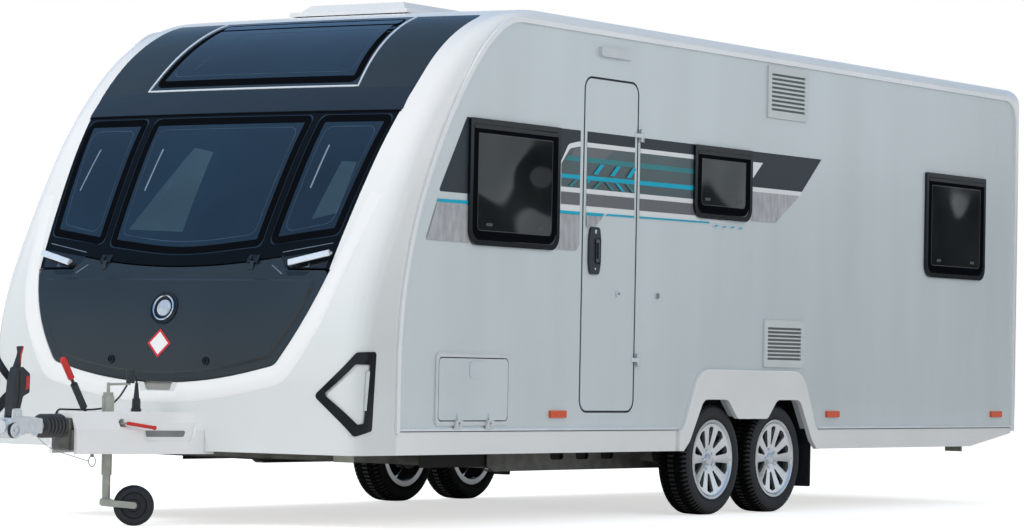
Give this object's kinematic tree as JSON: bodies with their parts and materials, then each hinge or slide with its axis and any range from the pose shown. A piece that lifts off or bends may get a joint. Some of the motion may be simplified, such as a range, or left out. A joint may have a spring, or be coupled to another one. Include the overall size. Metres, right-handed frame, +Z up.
{
  "type": "travel caravan",
  "caption": "Twin-axle travel caravan with a raked front, gas locker lid, side entrance door, storage hatch, corner steadies, drawbar coupling and swivelling jockey wheel.",
  "frame": {"origin": "on the ground, half way along the overall length and on the centre line", "axes": "+Z up, the coupling points to -Y, the entrance door is on the +X side"},
  "size_m": [2.292, 8.365, 2.632],
  "materials": {
    "side_panel": "satin aluminium-skinned wall",
    "white_moulding": "gloss white moulding",
    "grey_moulding": "pale grey skirt",
    "dark_frame": "gloss anthracite",
    "glazing": "smoked acrylic",
    "black_plastic": "textured black",
    "grey_plastic": "textured grey",
    "white_plastic": "white",
    "rail_metal": "satin extrusion",
    "bright_trim": "polished",
    "galvanised": "hot-dip galvanised",
    "zinc": "zinc plated",
    "alloy": "painted alloy",
    "tyre_rubber": "tyre",
    "rubber": "rubber",
    "amber_lens": "lens",
    "red_lens": "lens",
    "red_grip": "grip",
    "ply": "floor and bulkhead board"
  },
  "bodies": {
    "caravan_body": {"arch_mouldings": "grey_moulding", "awning_rails": "rail_metal", "axle_front": "galvanised", "axle_rear": "galvanised", "bellows": "rubber", "breakaway_cable": "zinc", "breakaway_ring": "zinc", "chassis_frame": "galvanised", "corner_trims": "grey_plastic", "coupling_handle": "black_plastic", "coupling_head": "zinc", "door_lamp": "grey_plastic", "door_side_wall": "side_panel", "electrical_lead": "rubber", "floor_panel": "ply", "front_frame": "dark_frame", "front_panes": "glazing", "front_reflectors": "white_plastic", "gas_locker_walls": "ply", "grab_handles": "bright_trim", "handbrake_lever": "black_plastic", "hatch_frame": "white_plastic", "hinges": "white_plastic", "hitch_fairing": "white_moulding", "jockey_tube": "zinc", "lead_plug": "black_plastic", "lid_hinges": "dark_frame", "marker_lamps": "amber_lens", "mud_flaps": "rubber", "nose_moulding": "white_moulding", "off_side_wall": "side_panel", "rear_lamps": "red_lens", "rear_panel": "white_moulding", "red_grips": "red_grip", "roof_lights": "white_plastic", "roof_panel": "side_panel", "side_skirts": "grey_moulding", "steady_brackets": "zinc", "wall_vents": "white_plastic", "wheel_boxes": "black_plastic", "window_panes": "glazing", "window_rims": "dark_frame"},
    "wheel_front_near": {"rim_front_near": "alloy", "tyre_front_near": "tyre_rubber"},
    "steady_front_near": {"steady_front_near": "zinc"},
    "wheel_front_off": {"rim_front_off": "alloy", "tyre_front_off": "tyre_rubber"},
    "steady_front_off": {"steady_front_off": "zinc"},
    "wheel_rear_near": {"rim_rear_near": "alloy", "tyre_rear_near": "tyre_rubber"},
    "steady_rear_near": {"steady_rear_near": "zinc"},
    "wheel_rear_off": {"rim_rear_off": "alloy", "tyre_rear_off": "tyre_rubber"},
    "steady_rear_off": {"steady_rear_off": "zinc"},
    "entrance_door": {"door_leaf": "side_panel", "door_handle": "black_plastic"},
    "gas_lid": {"gas_locker_lid": "dark_frame"},
    "hatch": {"storage_hatch": "side_panel"},
    "jockey_fork": {"jockey_leg": "zinc"},
    "jockey_roller": {"jockey_wheel": "rubber"}
  },
  "joints": [
    {"name": "wheel_front_near_spin", "type": "hinge", "parent": "caravan_body", "child": "wheel_front_near", "pos_m": [1.007, 0.3735, 0.3], "axis": [1, 0, 0], "continuous": true},
    {"name": "wheel_front_off_spin", "type": "hinge", "parent": "caravan_body", "child": "wheel_front_off", "pos_m": [-1.007, 0.3735, 0.3], "axis": [1, 0, 0], "continuous": true},
    {"name": "wheel_rear_near_spin", "type": "hinge", "parent": "caravan_body", "child": "wheel_rear_near", "pos_m": [1.007, 1.0615, 0.3], "axis": [1, 0, 0], "continuous": true},
    {"name": "wheel_rear_off_spin", "type": "hinge", "parent": "caravan_body", "child": "wheel_rear_off", "pos_m": [-1.007, 1.0615, 0.3], "axis": [1, 0, 0], "continuous": true},
    {"name": "door_hinge", "type": "hinge", "parent": "caravan_body", "child": "entrance_door", "pos_m": [1.136, -0.4935, 1.41], "axis": [0, 0, 1], "range_deg": [0, 180]},
    {"name": "gas_lid_hinge", "type": "hinge", "parent": "caravan_body", "child": "gas_lid", "pos_m": [0, -2.91324, 1.254], "axis": [-1, 0, 0], "range_deg": [0, 80]},
    {"name": "hatch_hinge", "type": "hinge", "parent": "caravan_body", "child": "hatch", "pos_m": [1.138, -2.0135, 0.51], "axis": [0, 1, 0], "range_deg": [0, 160]},
    {"name": "steady_front_near_fold", "type": "hinge", "parent": "caravan_body", "child": "steady_front_near", "pos_m": [0.85, -2.2875, 0.372], "axis": [1, 0, 0], "range_deg": [0, 46]},
    {"name": "steady_front_off_fold", "type": "hinge", "parent": "caravan_body", "child": "steady_front_off", "pos_m": [-0.85, -2.2875, 0.372], "axis": [1, 0, 0], "range_deg": [0, 46]},
    {"name": "steady_rear_near_fold", "type": "hinge", "parent": "caravan_body", "child": "steady_rear_near", "pos_m": [0.85, 3.3725, 0.372], "axis": [-1, 0, 0], "range_deg": [0, 46]},
    {"name": "steady_rear_off_fold", "type": "hinge", "parent": "caravan_body", "child": "steady_rear_off", "pos_m": [-0.85, 3.3725, 0.372], "axis": [-1, 0, 0], "range_deg": [0, 46]},
    {"name": "jockey_swivel", "type": "hinge", "parent": "caravan_body", "child": "jockey_fork", "pos_m": [0.05, -3.4785, 0.3], "axis": [0, 0, 1], "continuous": true},
    {"name": "jockey_spin", "type": "hinge", "parent": "jockey_fork", "child": "jockey_roller", "pos_m": [0.15017, -3.39563, 0.095], "axis": [-0.6374, 0.7705, 0], "continuous": true}
  ]
}
